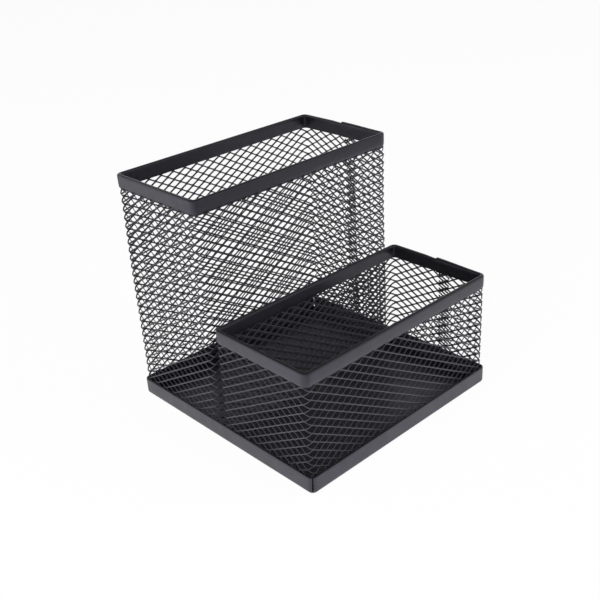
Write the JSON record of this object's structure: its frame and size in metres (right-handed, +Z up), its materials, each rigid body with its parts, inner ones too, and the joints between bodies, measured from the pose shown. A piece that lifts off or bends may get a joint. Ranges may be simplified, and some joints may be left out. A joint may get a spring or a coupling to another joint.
{
  "type": "pen stand",
  "caption": "Mesh desk pen stand: a tall open basket behind a short open one, each with a folded rim, standing in a shallow sheet tray on round pads.",
  "frame": {"origin": "middle of the footprint, on the surface the pads rest on", "axes": "+X along the wide front to the right, +Y from the short front basket to the tall back basket, +Z up"},
  "size_m": [0.103, 0.104, 0.1014],
  "materials": {
    "tray_coat": "black powder coat on folded steel sheet, semi-gloss with fine orange peel",
    "rim_coat": "black powder coat on folded steel strip, semi-gloss",
    "mesh_coat": "black powder coat on expanded steel, satin",
    "pad_rubber": "black foam rubber, matt"
  },
  "bodies": {
    "root": {"base_tray": "tray_coat", "pad_front_left": "pad_rubber", "pad_front_right": "pad_rubber", "pad_back_left": "pad_rubber", "pad_back_right": "pad_rubber", "tall_mesh_front": "mesh_coat", "tall_mesh_back": "mesh_coat", "tall_mesh_left": "mesh_coat", "tall_mesh_right": "mesh_coat", "short_mesh_front": "mesh_coat", "short_mesh_back": "mesh_coat", "short_mesh_left": "mesh_coat", "short_mesh_right": "mesh_coat", "tall_rim": "rim_coat", "short_rim": "rim_coat"}
  },
  "joints": []
}
